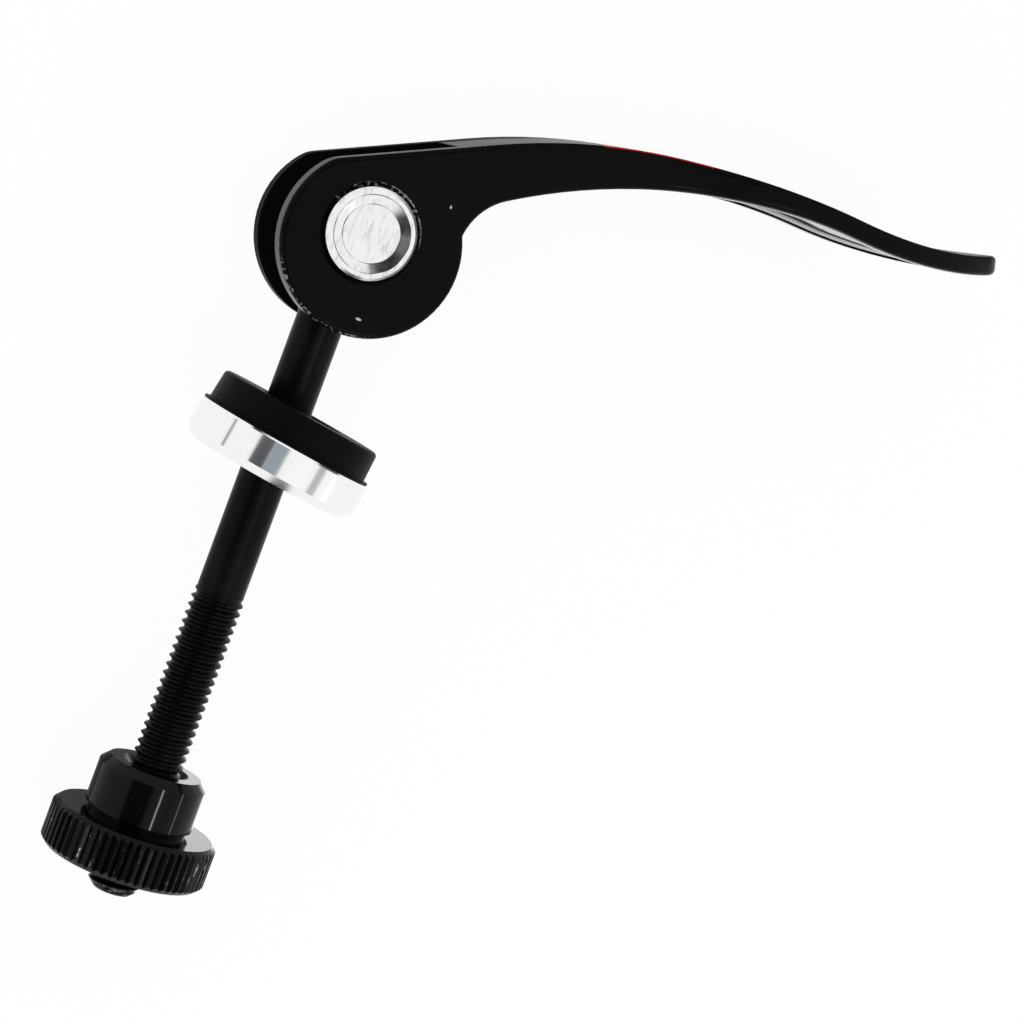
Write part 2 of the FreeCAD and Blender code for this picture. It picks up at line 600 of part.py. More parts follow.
# Cam follower: a thick disc in the cup, which rests on the cup's lip by a thin rim and stands above it
cam_follower = new_body("cam_follower")
follower_profile = new_sketch(cam_follower, "follower_profile", "XY_Plane")
follower_radius = cup_inside + " - follower_gap"
follower_top = "ring_height + follower_stand"
follower_foot = "ring_floor + follower_gap"
follower_edge = follower_radius + " - follower_draft"
rim_radius = "ring_radius - ring_lip"
rim_top = "ring_height + follower_rim"
add_polygon(follower_profile, [("follower_bore", follower_foot), (follower_radius, follower_foot),
                               (follower_radius, "ring_height"), (rim_radius, "ring_height"),
                               (rim_radius, rim_top), (follower_radius, rim_top),
                               (follower_edge, follower_top), ("follower_bore", follower_top)])
doc.recompute()
follower_disc = revolve(cam_follower, follower_profile)
top_edge = []
for index, edge in enumerate(follower_disc.Shape.Edges, start=1):
    box = edge.BoundBox
    if box.YMin > value_of(follower_top) - 0.01 and box.XMax > value_of(follower_edge) - 0.01:
        top_edge.append(f"Edge{index}")
round_edges(cam_follower, follower_disc, top_edge, "follower_round")

# The loose washer leans on the bolt, a little off its axis
for body in (cup_washer, cam_follower):
    lean = FreeCAD.Rotation(FreeCAD.Vector(0, 0, -1), value_of("washer_lean"))
    body.Placement = FreeCAD.Placement(FreeCAD.Vector(0, 0, 0), lean)
    body.setExpression("Placement.Rotation.Angle", bound("washer_lean * 1 deg"))
    body.setExpression("Placement.Base.x", bound("washer_shift * 1 mm"))
    place_at(body, "washer_height")

# Thumb nut: boss, undercut, knurled flange and a low collar
thumb_nut = new_body("thumb_nut")
nut_profile = new_sketch(thumb_nut, "nut_profile", "XY_Plane")
nut_bore = "thread_radius + thread_gap"
boss_foot = "-boss_height"
flange_foot = "-(boss_height + flange_height)"
nut_foot = "-(boss_height + flange_height + collar_height)"
add_polygon(nut_profile, [(nut_bore, "-bore_chamfer"), (nut_bore + " + bore_chamfer", "0"),
                          ("boss_radius - boss_chamfer", "0"), ("boss_radius", "-boss_chamfer"),
                          ("boss_radius", boss_foot + " + undercut_height"),
                          ("undercut_radius", boss_foot + " + undercut_height"),
                          ("undercut_radius", boss_foot), ("flange_radius - flange_chamfer", boss_foot),
                          ("flange_radius", boss_foot + " - flange_chamfer"),
                          ("flange_radius", flange_foot + " + flange_chamfer"),
                          ("flange_radius - flange_chamfer", flange_foot), ("collar_radius", flange_foot),
                          ("collar_radius", nut_foot), (nut_bore + " + collar_height", nut_foot),
                          (nut_bore, nut_foot + " + collar_height")])
doc.recompute()
revolve(thumb_nut, nut_profile)
groove = new_sketch(thumb_nut, "groove", "XZ_Plane")
add_polygon(groove, [("flange_radius - knurl_depth", "0"),
                     ("flange_radius + knurl_depth", "-2 * knurl_half_width"),
                     ("flange_radius + knurl_depth", "2 * knurl_half_width")])
doc.recompute()
groove_cut = pocket_through(thumb_nut, groove)
knurl = thumb_nut.newObject("PartDesign::PolarPattern", "knurl")
knurl.Originals = [groove_cut]
knurl.Axis = (groove, ["N_Axis"])
knurl.Angle = 360
knurl.setExpression("Occurrences", bound("knurl_count"))
thumb_nut.Tip = knurl
place_at(thumb_nut, "-nut_depth")
doc.recompute()

# One STEP file for each part, once everything has built
for item in doc.Objects:
    if "Invalid" in item.State or "Error" in item.State:
        raise RuntimeError(item.Name + " did not build")
os.makedirs("parts", exist_ok=True)
for node in (lever, pivot_pin, eye_bolt, cup_washer, cam_follower, thumb_nut):
    if node.Shape.isNull() or not node.Shape.isValid() or len(node.Shape.Solids) != 1:
        raise RuntimeError(node.Label + " is not one valid solid")
    node.Shape.exportStep(f"parts/{node.Label}.step")
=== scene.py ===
import math
import bmesh
import bpy
import numpy as np
from mathutils import Matrix, Vector


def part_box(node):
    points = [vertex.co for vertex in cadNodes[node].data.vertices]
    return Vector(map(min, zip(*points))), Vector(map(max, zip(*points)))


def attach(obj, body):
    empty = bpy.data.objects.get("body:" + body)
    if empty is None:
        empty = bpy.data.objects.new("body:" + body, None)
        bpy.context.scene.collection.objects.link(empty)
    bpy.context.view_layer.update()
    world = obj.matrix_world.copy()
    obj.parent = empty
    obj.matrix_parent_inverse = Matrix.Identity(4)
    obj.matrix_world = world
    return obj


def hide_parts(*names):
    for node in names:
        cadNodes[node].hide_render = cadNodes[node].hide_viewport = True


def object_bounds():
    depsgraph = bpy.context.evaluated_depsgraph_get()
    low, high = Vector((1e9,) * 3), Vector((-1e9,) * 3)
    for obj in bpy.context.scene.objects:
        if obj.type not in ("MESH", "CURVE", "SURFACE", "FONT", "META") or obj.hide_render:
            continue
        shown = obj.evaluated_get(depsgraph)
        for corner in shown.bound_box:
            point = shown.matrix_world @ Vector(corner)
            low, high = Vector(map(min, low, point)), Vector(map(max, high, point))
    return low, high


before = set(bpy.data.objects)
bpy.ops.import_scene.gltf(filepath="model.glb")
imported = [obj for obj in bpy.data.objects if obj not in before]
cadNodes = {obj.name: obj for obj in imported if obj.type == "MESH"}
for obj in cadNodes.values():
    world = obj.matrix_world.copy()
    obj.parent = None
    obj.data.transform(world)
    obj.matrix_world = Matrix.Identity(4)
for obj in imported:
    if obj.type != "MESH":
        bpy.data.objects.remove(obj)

# Quick release skewer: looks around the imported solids, in metres, +Y up the bolt and +Z up from the floor.

mm = 0.001
cadLow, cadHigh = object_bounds()  # the box of the solids
print("frame loaded:", ", ".join(sorted(cadNodes)))

# kinds of node and operations that come up often; sockets go by number: Map Range has its limits at 1, 2 and
# 3, 4, and Mix has two numbers at 2, 3, two colours at 6, 7 and the mixed colour at its output 2
mathNode, vectorNode, splitNode = "ShaderNodeMath", "ShaderNodeVectorMath", "ShaderNodeSeparateXYZ"
mixNode, rangeNode, noiseNode = "ShaderNodeMix", "ShaderNodeMapRange", "ShaderNodeTexNoise"
multiply, lengthOf = {"operation": "MULTIPLY"}, {"operation": "LENGTH"}


def linear(hexColour):
    # sRGB to linear: a straight part near black, then a power of 2.4
    parts = [int(hexColour[i:i + 2], 16) / 255 for i in (1, 3, 5)]
    return tuple(c / 12.92 if c <= 0.04045 else ((c + 0.055) / 1.055) ** 2.4 for c in parts) + (1.0,)


def addNode(tree, kind, settings=None, links=None):
    # one node: settings go to its own properties or to its sockets, and a pair of sockets takes a pair of
    # values; a link comes from a socket, or from the first output of a node
    node = tree.nodes.new(kind)
    for key, value in (settings or {}).items():
        if isinstance(key, tuple):
            for socket, part in zip(key, value):
                node.inputs[socket].default_value = part
        elif isinstance(key, str) and hasattr(node, key):
            setattr(node, key, value)
        else:
            node.inputs[key].default_value = value
    for key, source in (links or {}).items():
        output = source.outputs[0] if isinstance(source, bpy.types.Node) else source
        tree.links.new(output, node.inputs[key])
    return node


def newMaterial(name):
    material = bpy.data.materials.new(name)
    material.use_nodes = True
    material.node_tree.nodes.clear()
    return material, material.node_tree


def finishMaterial(tree, shader):
    addNode(tree, "ShaderNodeOutputMaterial", links={"Surface": shader.outputs["BSDF"]})


def perMetre(sizeMm):
    return 1.0 / (sizeMm * mm)  # texture scale for a feature of this size


def metres(sizesMm):
    return tuple(size * mm for size in sizesMm)


def aboutPin(tree, place, centre):
    # the way from the pin's axis to a point, and its length
    toAxis = (-centre[0] * mm, -centre[1] * mm, 0.0)
    away = addNode(tree, vectorNode, {"operation": "MULTIPLY_ADD", 1: (1.0, 1.0, 0.0), 2: toAxis}, {0: place})
    return away, addNode(tree, vectorNode, lengthOf, {0: away}).outputs["Value"]


# Lever: satin black paint on cast aluminium. Deep black, bright at grazing angles and where it is rubbed
# glossy, with bare metal in specks along a few edges; flecks on one side of the pin hole also make a painted
# highlight there, and a painted highlight in near white lies along the recess's far wall.
leverPaint = {
    "body": "#090909", "worn": "#0f0f0f", "chip": "#b4b4b2", "rough": (0.16, 0.26), "specular": 0.035,
    "peelMm": 0.55, "peelDepth": 0.004, "peelStrength": 0.2, "patchMm": 6.0, "speckMm": 0.5,
    # red field on the back: its span along the arm, the slant of its ends, and how far up the face looks
    "stripe": "#a01018", "stripeX": (22.6, 35.2), "stripeSlant": 0.233, "stripeTilt": 0.75,
    # the pin hole's edge, bare metal in flecks that also make a painted highlight on one side of its bevel:
    # its centre, radius and half width, the side where the flecks lie, the share of the radius at which that
    # side begins, and the range of noise that leaves flecks
    "hole": (0.0, 45.5), "holeEdge": 5.45, "holeBand": 0.07, "holeSide": (0.45, 0.89), "holeFrom": 0.45,
    "holeFlecks": (0.4, 0.62),
    # worn lower edges of the cam: how far the edge round has turned from the cheek and how near to that, how
    # far it looks down, where it ends along X, the range of noise that leaves specks, and their colour
    "edgeTilt": (0.55, 0.3), "edgeDown": -0.3, "edgeX": 4.0, "edgeSpecks": (0.52, 0.6),
    "edgeWorn": "#7c7c7a",
    # each chip: its place, then half its length along X and Y; a noise, scaled and moved, makes it ragged
    "chips": [((1.98, 36.62, 7.25), (0.32, 0.13)), ((7.22, 51.10, 7.25), (0.12, 0.17))],
    "chipDepth": 0.5, "chipRagged": (1.2, -0.6),
    # the recess's far wall carries a painted highlight near the floor, near white for the glossy recess's
    # reflection: its span of X, how deep it lies, how far it faces the near side, the degree of the curve
    # along it, and where up it the bright part begins and is full
    "wallX": (39.5, 66.5), "wallZ": -1.0, "wallFacing": 0.5, "wallDegree": 4, "wallRange": (0.5, 0.66),
    "wallHighlight": "#f4f4f2",
    # the paddle's underside is rubbed glossy: where it starts, how far it looks down, and its finish
    "underX": (26.0, 42.0), "underTilt": (-0.7, -0.92), "underSpecular": 0.9, "underRough": 0.07,
    # the back has faded: how far it looks up, and the share of its sheen that is left
    "backTilt": (0.3, 0.8), "backSheen": 0.08,
    # the far cheek is duller: from which depth, up to which length, and the share of its sheen that is left
    "farZ": (-1.5, -3.5), "farX": (24.0, 16.0), "farSheen": 0.04,
}


def markRecessWall():
    # the way up the recess's far wall, 0 at the rim and 1 at the floor: a curve fitted to all the points of
    # the wall runs between its two edges, and a point above it is on the floor's edge
    s = leverPaint
    mesh = cadNodes["lever"].data
    points = np.empty(len(mesh.vertices) * 3)
    mesh.vertices.foreach_get("co", points)
    points = points.reshape(-1, 3) / mm
    normals = np.empty(len(mesh.polygons) * 3)
    mesh.polygons.foreach_get("normal", normals)
    corners = np.empty(len(mesh.loops), dtype=np.int32)
    mesh.loops.foreach_get("vertex_index", corners)
    corners = corners.reshape(-1, 3)
    middles = points[corners].mean(axis=1)
    wall = (normals.reshape(-1, 3)[:, 2] > s["wallFacing"]) & (middles[:, 2] < s["wallZ"])
    wall &= (middles[:, 0] > s["wallX"][0]) & (middles[:, 0] < s["wallX"][1])
    ends = np.unique(corners[wall])
    along = points[ends, 0] - np.mean(s["wallX"])
    curve = np.polyfit(along, points[ends, 1], s["wallDegree"])
    height = np.zeros(len(points))
    height[ends] = points[ends, 1] > np.polyval(curve, along)
    mesh.attributes.new("wallHeight", "FLOAT", "POINT").data.foreach_set("value", height)
    print("recess wall:", wall.sum(), "faces,", int(height.sum()), "of", len(ends), "points on the floor")


def makeLeverPaint():
    s = leverPaint
    material, tree = newMaterial("satin_black_paint")
    coords = addNode(tree, "ShaderNodeTexCoord")
    place = coords.outputs["Object"]
    peel = addNode(tree, noiseNode, {"Scale": perMetre(s["peelMm"]), "Detail": 3.0}, {"Vector": place})
    patch = addNode(tree, noiseNode, {"Scale": perMetre(s["patchMm"]), "Detail": 4.0}, {"Vector": place})
    speck = addNode(tree, noiseNode, {"Scale": perMetre(s["speckMm"]), "Detail": 4.0}, {"Vector": place})
    axes = addNode(tree, splitNode, links={"Vector": place}).outputs
    facing = addNode(tree, splitNode, links={"Vector": coords.outputs["Normal"]}).outputs
    colour = addNode(tree, mixNode, {"data_type": "RGBA", 6: linear(s["body"]), 7: linear(s["worn"])},
                     {0: patch}).outputs[2]
    # plain red field on the back of the arm: inside its slanting ends, and only where the face looks up
    middle = sum(s["stripeX"]) / 2 * mm
    halfLength = (s["stripeX"][1] - s["stripeX"][0]) / 2 * mm
    slanted = addNode(tree, mathNode, {"operation": "MULTIPLY_ADD", 1: s["stripeSlant"]},
                      {0: axes["Z"], 2: axes["X"]})
    along = addNode(tree, mathNode, {"operation": "COMPARE", 1: middle, 2: halfLength}, {0: slanted})
    upward = addNode(tree, mathNode, {"operation": "GREATER_THAN", 1: s["stripeTilt"]}, {0: facing["Y"]})
    field = addNode(tree, mathNode, multiply, {0: along, 1: upward})
    colour = addNode(tree, mixNode, {"data_type": "RGBA", 7: linear(s["stripe"])},
                     {0: field, 6: colour}).outputs[2]
    # bare metal in flecks along the edge of the pin hole, on one side of it, where they also paint in the
    # bevel's highlight
    fromPin, radius = aboutPin(tree, place, s["hole"])
    onEdge = addNode(tree, mathNode, {"operation": "COMPARE", 1: s["holeEdge"] * mm, 2: s["holeBand"] * mm},
                     {0: radius})
    sideways = addNode(tree, vectorNode, {"operation": "DOT_PRODUCT", 1: s["holeSide"] + (0.0,)},
                       {0: fromPin}).outputs["Value"]
    onSide = addNode(tree, rangeNode, {1: s["holeFrom"] * s["holeEdge"] * mm, 2: s["holeEdge"] * mm},
                     {0: sideways})
    bareAndSheen = addNode(tree, mathNode, multiply, {0: onEdge, 1: onSide})
    flecks = addNode(tree, rangeNode, {(1, 2): s["holeFlecks"]}, {0: speck})
    bareAndSheen = addNode(tree, mathNode, multiply, {0: bareAndSheen, 1: flecks})
    colour = addNode(tree, mixNode, {"data_type": "RGBA", 7: linear(s["chip"])},
                     {0: bareAndSheen, 6: colour}).outputs[2]
    # specks of worn paint along the cam's lower edges, where the edge round has turned halfway from the cheek
    tilt = addNode(tree, mathNode, {"operation": "ABSOLUTE"}, {0: facing["Z"]})
    worn = addNode(tree, mathNode, {"operation": "COMPARE", (1, 2): s["edgeTilt"]}, {0: tilt})
    lower = addNode(tree, mathNode, {"operation": "LESS_THAN", 1: s["edgeDown"]}, {0: facing["Y"]})
    onCam = addNode(tree, mathNode, {"operation": "LESS_THAN", 1: s["edgeX"] * mm}, {0: axes["X"]})
    specks = addNode(tree, rangeNode, {(1, 2): s["edgeSpecks"]}, {0: speck})
    for mask in (lower, onCam, specks):
        worn = addNode(tree, mathNode, multiply, {0: worn, 1: mask})
    colour = addNode(tree, mixNode, {"data_type": "RGBA", 7: linear(s["edgeWorn"])},
                     {0: worn, 6: colour}).outputs[2]
    # small chips through the paint: inside an ellipsoid about a point, with a ragged edge
    ragged = addNode(tree, mathNode, {"operation": "MULTIPLY_ADD", (1, 2): s["chipRagged"]}, {0: speck})
    for centre, (halfX, halfY) in s["chips"]:
        half = (halfX, halfY, s["chipDepth"])
        nearby = addNode(tree, vectorNode,
                         {"operation": "MULTIPLY_ADD", 1: tuple(1 / (h * mm) for h in half),
                          2: tuple(-c / h for c, h in zip(centre, half))}, {0: place})
        away = addNode(tree, vectorNode, lengthOf, {0: nearby}).outputs["Value"]
        edge = addNode(tree, mathNode, {"operation": "ADD"}, {0: away, 1: ragged})
        inside = addNode(tree, mathNode, {"operation": "LESS_THAN", 1: 1.0}, {0: edge})
        colour = addNode(tree, mixNode, {"data_type": "RGBA", 7: linear(s["chip"])},
                         {0: inside, 6: colour}).outputs[2]
    # painted highlight: the recess's far wall near white from about halfway up, for the reflection along the
    # recess
    upWall = addNode(tree, "ShaderNodeAttribute", {"attribute_name": "wallHeight"}).outputs["Fac"]
    rubAndSheen = addNode(tree, rangeNode, {(1, 2): s["wallRange"]}, {0: upWall})
    colour = addNode(tree, mixNode, {"data_type": "RGBA", 7: linear(s["wallHighlight"])},
                     {0: rubAndSheen, 6: colour}).outputs[2]
    # sheen: low on the whole, high under the paddle, and lower still on the faded back and the far cheek
    under = addNode(tree, rangeNode, {(1, 2): s["underTilt"]}, {0: facing["Y"]})
    onPaddle = addNode(tree, rangeNode, {(1, 2): metres(s["underX"])}, {0: axes["X"]})
    under = addNode(tree, mathNode, multiply, {0: under, 1: onPaddle})
    sheen = addNode(tree, rangeNode, {3: s["specular"], 4: s["underSpecular"]}, {0: under})
    faded = addNode(tree, rangeNode, {(1, 2): s["backTilt"], 3: 1.0, 4: s["backSheen"]}, {0: facing["Y"]})
    farSide = addNode(tree, rangeNode, {(1, 2): metres(s["farZ"])}, {0: axes["Z"]})
    onHead = addNode(tree, rangeNode, {(1, 2): metres(s["farX"])}, {0: axes["X"]})
    farSide = addNode(tree, mathNode, multiply, {0: farSide, 1: onHead})
    dulled = addNode(tree, rangeNode, {3: 1.0, 4: s["farSheen"]}, {0: farSide})
    for share in (faded, dulled):
        sheen = addNode(tree, mathNode, multiply, {0: sheen, 1: share})
    rough = addNode(tree, rangeNode, {(3, 4): s["rough"]}, {0: patch})
    rough = addNode(tree, mixNode, {3: s["underRough"]}, {0: under, 2: rough})
    bump = addNode(tree, "ShaderNodeBump", {"Strength": s["peelStrength"], "Distance": s["peelDepth"] * mm},
                   {"Height": peel})
    shader = addNode(tree, "ShaderNodeBsdfPrincipled", None,
                     {"Base Color": colour, "Roughness": rough, "Normal": bump,
                      "Specular IOR Level": sheen})
    finishMaterial(tree, shader)
    return material


# Pin: zinc plated steel, pressed and then scuffed. Pale bright metal with faint brushed marks and painted
# shade in thin dark rings where its recess turns.
pinSteel = {
    "bright": "#efefed", "dull": "#c6c5c3", "rough": (0.13, 0.24), "grainMm": 2.4, "grainRange": (0.3, 0.7),
    # brushed marks: their width, the scale along them, their turn, and the range of noise that shows them
    "scuffMm": 0.45, "scuffStretch": 0.22, "scuffTurn": 18.0, "scuffRoughness": 0.6,
    "scuffRange": (0.5, 0.74),
    # rings of painted shade where the recess turns: radius and half width; then the patches and how strong
    # they are
    "centre": (0.0, 45.5), "shadeRings": [(3.14, 0.06), (4.16, 0.05)], "ringShade": "#4a4a48", "shadeMm": 1.8,
    "shadeRange": (0.35, 0.6), "shadeShare": (0.1, 0.9),
}


def makePinSteel():
    s = pinSteel
    material, tree = newMaterial("zinc_plated_steel")
    place = addNode(tree, "ShaderNodeTexCoord").outputs["Object"]
    brushed = addNode(tree, "ShaderNodeMapping", {"Rotation": (0.0, 0.0, math.radians(-s["scuffTurn"])),
                                                  "Scale": (1.0, s["scuffStretch"], 1.0)},
                      {"Vector": place})
    scuff = addNode(tree, noiseNode, {"Scale": perMetre(s["scuffMm"]), "Detail": 4.0,
                                      "Roughness": s["scuffRoughness"]}, {"Vector": brushed})
    grain = addNode(tree, noiseNode, {"Scale": perMetre(s["grainMm"]), "Detail": 2.0}, {"Vector": place})
    shadeNoise = addNode(tree, noiseNode, {"Scale": perMetre(s["shadeMm"]), "Detail": 3.0}, {"Vector": place})
    worn = addNode(tree, rangeNode, {(1, 2): s["scuffRange"]}, {0: scuff})
    colour = addNode(tree, mixNode, {"data_type": "RGBA", 6: linear(s["bright"]), 7: linear(s["dull"])},
                     {0: worn}).outputs[2]
    # painted shade: darker inside a thin ring about the pin's axis where the recess turns, stronger in
    # patches
    radius = aboutPin(tree, place, s["centre"])[1]
    strength = addNode(tree, rangeNode, {(1, 2): s["shadeRange"], (3, 4): s["shadeShare"]}, {0: shadeNoise})
    for ring in s["shadeRings"]:
        inRing = addNode(tree, mathNode, {"operation": "COMPARE", (1, 2): metres(ring)}, {0: radius})
        shaded = addNode(tree, mathNode, multiply, {0: inRing, 1: strength})
        colour = addNode(tree, mixNode, {"data_type": "RGBA", 7: linear(s["ringShade"])},
                         {0: shaded, 6: colour}).outputs[2]
    rough = addNode(tree, rangeNode, {(1, 2): s["grainRange"], (3, 4): s["rough"]}, {0: grain})
    shader = addNode(tree, "ShaderNodeBsdfPrincipled", {"Metallic": 1.0},
                     {"Base Color": colour, "Roughness": rough})
    finishMaterial(tree, shader)
    return material


# Bolt: black oxide on steel. Dark and even, a thin dry sheen, with bare metal on the cut end, painted
# there as the highlight on its chamfer.
boltBlack = {
    "body": "#060606", "rubAndSheen": "#0f0f10", "rough": (0.26, 0.4), "specular": 0.07,
    "grainMm": 0.4, "grainStretch": 0.12, "patchMm": 5.0, "patchRange": (0.5, 0.75),
    # the cut end, bare metal as a painted highlight: below which height, and the size and range of its bare
    # patches
    "bareAndSheen": "#8a8a86", "bareFrom": -30.6, "bareMm": 0.9, "bareRange": (0.5, 0.72),
}


def makeBoltBlack():
    s = boltBlack
    material, tree = newMaterial("black_oxide_steel")
    place = addNode(tree, "ShaderNodeTexCoord").outputs["Object"]
    drawn = addNode(tree, "ShaderNodeMapping", {"Scale": (1.0, s["grainStretch"], 1.0)}, {"Vector": place})
    grain = addNode(tree, noiseNode, {"Scale": perMetre(s["grainMm"]), "Detail": 4.0}, {"Vector": drawn})
    patch = addNode(tree, noiseNode, {"Scale": perMetre(s["patchMm"]), "Detail": 3.0}, {"Vector": place})
    rubAndSheen = addNode(tree, rangeNode, {(1, 2): s["patchRange"]}, {0: patch})
    colour = addNode(tree, mixNode, {"data_type": "RGBA", 6: linear(s["body"]), 7: linear(s["rubAndSheen"])},
                     {0: rubAndSheen}).outputs[2]
    # bare steel in patches on the cut end: a painted highlight for its chamfer
    height = addNode(tree, splitNode, links={"Vector": place}).outputs["Y"]
    onEnd = addNode(tree, mathNode, {"operation": "LESS_THAN", 1: s["bareFrom"] * mm}, {0: height})
    knock = addNode(tree, noiseNode, {"Scale": perMetre(s["bareMm"]), "Detail": 3.0}, {"Vector": place})
    bareAndSheen = addNode(tree, rangeNode, {(1, 2): s["bareRange"]}, {0: knock})
    bareAndSheen = addNode(tree, mathNode, multiply, {0: bareAndSheen, 1: onEnd})
    colour = addNode(tree, mixNode, {"data_type": "RGBA", 7: linear(s["bareAndSheen"])},
                     {0: bareAndSheen, 6: colour}).outputs[2]
    rough = addNode(tree, rangeNode, {(3, 4): s["rough"]}, {0: grain})
    shader = addNode(tree, "ShaderNodeBsdfPrincipled", {"Specular IOR Level": s["specular"]},
                     {"Base Color": colour, "Metallic": bareAndSheen, "Roughness": rough})
    finishMaterial(tree, shader)
    return material


# Cup: turned and polished aluminium. Nearly white mirror with faint turning lines round its own axis, drawn
# coarser than real ones. A Wave texture runs through waveRate radians a unit, and turnMm is one radian long.
cupAlloy = {"body": "#f4f4f4", "rough": (0.09, 0.15), "patchMm": 4.0, "lean": 9.5, "turnMm": 0.22,
            "turnDepth": 0.001, "turnStrength": 0.2, "turnDistortion": 0.6, "waveRate": 20}


def makeCupAlloy():
    s = cupAlloy
    material, tree = newMaterial("polished_aluminium")
    place = addNode(tree, "ShaderNodeTexCoord").outputs["Object"]
    upright = addNode(tree, "ShaderNodeMapping", {"Rotation": (0.0, 0.0, math.radians(s["lean"]))},
                      {"Vector": place})
    turned = addNode(tree, "ShaderNodeTexWave",
                     {"wave_type": "BANDS", "bands_direction": "Y", "Detail": 2.0,
                      "Scale": perMetre(s["turnMm"]) / s["waveRate"], "Distortion": s["turnDistortion"]},
                     {"Vector": upright})
    patch = addNode(tree, noiseNode, {"Scale": perMetre(s["patchMm"]), "Detail": 3.0}, {"Vector": place})
    rough = addNode(tree, rangeNode, {(3, 4): s["rough"]}, {0: patch})
    bump = addNode(tree, "ShaderNodeBump", {"Strength": s["turnStrength"], "Distance": s["turnDepth"] * mm},
                   {"Height": turned.outputs["Fac"]})
    shader = addNode(tree, "ShaderNodeBsdfPrincipled", {"Base Color": linear(s["body"]), "Metallic": 1.0},
                     {"Roughness": rough, "Normal": bump})
    finishMaterial(tree, shader)
    return material


# Follower: black acetal, moulded. Dull and even, with a fine moulded grain.
followerPlastic = {"body": "#070707", "pale": "#0d0d0d", "rough": (0.4, 0.54), "specular": 0.04,
                   "grainMm": 0.3, "grainDepth": 0.005, "grainStrength": 0.3}


def makeFollowerPlastic():
    s = followerPlastic
    material, tree = newMaterial("black_acetal")
    place = addNode(tree, "ShaderNodeTexCoord").outputs["Object"]
    grain = addNode(tree, noiseNode, {"Scale": perMetre(s["grainMm"]), "Detail": 4.0}, {"Vector": place})
    colour = addNode(tree, mixNode, {"data_type": "RGBA", 6: linear(s["body"]), 7: linear(s["pale"])},
                     {0: grain}).outputs[2]
    rough = addNode(tree, rangeNode, {(3, 4): s["rough"]}, {0: grain})
    bump = addNode(tree, "ShaderNodeBump",
                   {"Strength": s["grainStrength"], "Distance": s["grainDepth"] * mm}, {"Height": grain})
    shader = addNode(tree, "ShaderNodeBsdfPrincipled", {"Specular IOR Level": s["specular"]},
                     {"Base Color": colour, "Roughness": rough, "Normal": bump})
    finishMaterial(tree, shader)
    return material


# Nut: gloss black electroplate on steel. Clear highlights, a duller rim, and painted highlights on the knurl:
# bright streaks of bare metal on the crests.
nutBlack = {
    "body": "#050505", "rubAndSheen": "#6f6f6d", "rough": (0.06, 0.12), "specular": 0.12, "patchMm": 3.0,
    "rimRough": 0.28, "rimMm": (8.6, 9.0),
    # painted highlights, streaks of bare metal on the knurl: the radius where crests begin, their width, the
    # scale along them, and the range of noise
    "crestMm": 9.24, "streakMm": 0.6, "streakStretch": 0.35, "streakRange": (0.62, 0.7),
}


def makeNutBlack():
    s = nutBlack
    material, tree = newMaterial("gloss_black_plating")
    place = addNode(tree, "ShaderNodeTexCoord").outputs["Object"]
    flat = addNode(tree, vectorNode, {"operation": "MULTIPLY", 1: (1.0, 0.0, 1.0)}, {0: place})
    reach = addNode(tree, vectorNode, lengthOf, {0: flat}).outputs["Value"]
    crest = addNode(tree, mathNode, {"operation": "GREATER_THAN", 1: s["crestMm"] * mm}, {0: reach})
    streaky = addNode(tree, "ShaderNodeMapping", {"Scale": (1.0, s["streakStretch"], 1.0)}, {"Vector": place})
    streakNoise = addNode(tree, noiseNode, {"Scale": perMetre(s["streakMm"]), "Detail": 4.0}, {"Vector": streaky})
    patch = addNode(tree, noiseNode, {"Scale": perMetre(s["patchMm"]), "Detail": 3.0}, {"Vector": place})
    # painted highlight: bare metal grey in streaks on the knurl crests, for the glints there
    bareAndSheen = addNode(tree, rangeNode, {(1, 2): s["streakRange"]}, {0: streakNoise})
    bareAndSheen = addNode(tree, mathNode, multiply, {0: bareAndSheen, 1: crest})
    colour = addNode(tree, mixNode, {"data_type": "RGBA", 6: linear(s["body"]), 7: linear(s["rubAndSheen"])},
                     {0: bareAndSheen}).outputs[2]
    rough = addNode(tree, rangeNode, {(3, 4): s["rough"]}, {0: patch})
    onRim = addNode(tree, rangeNode, {(1, 2): metres(s["rimMm"])}, {0: reach})
    rough = addNode(tree, mixNode, {3: s["rimRough"]}, {0: onRim, 2: rough})
    shader = addNode(tree, "ShaderNodeBsdfPrincipled", {"Specular IOR Level": s["specular"]},
                     {"Base Color": colour, "Metallic": bareAndSheen, "Roughness": rough})
    finishMaterial(tree, shader)
    return material


markRecessWall()
finishes = {"lever": makeLeverPaint(), "pivot_pin": makePinSteel(), "eye_bolt": makeBoltBlack(),
            "cup_washer": makeCupAlloy(), "cam_follower": makeFollowerPlastic(),
            "thumb_nut": makeNutBlack()}
for node, material in finishes.items():
    cadNodes[node].data.materials.clear()
    cadNodes[node].data.materials.append(material)
print("materials:", ", ".join(m.name for m in finishes.values()))


# Bolt: the solid's eye and shank, with a real thread in place of the plain cylinder.
boltThread = {
    "pitch": 1.0, "crest": 2.9, "shank": 2.65, "depth": 0.42, "start": 3.7,
    "end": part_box("eye_bolt")[0].y / mm, "joinAbove": 0.4, "runIn": 1.1, "chamfer": 0.8,
    "crestShare": 1 / 8, "rootShare": 1 / 4,  # widths of crest and root, as shares of the pitch
    "rowsPerPitch": 14, "endRings": 4,
    "weld": 1e-7, "sharpFrom": 32,  # points this close are one, in metres; edges this sharp stay, in degrees
}


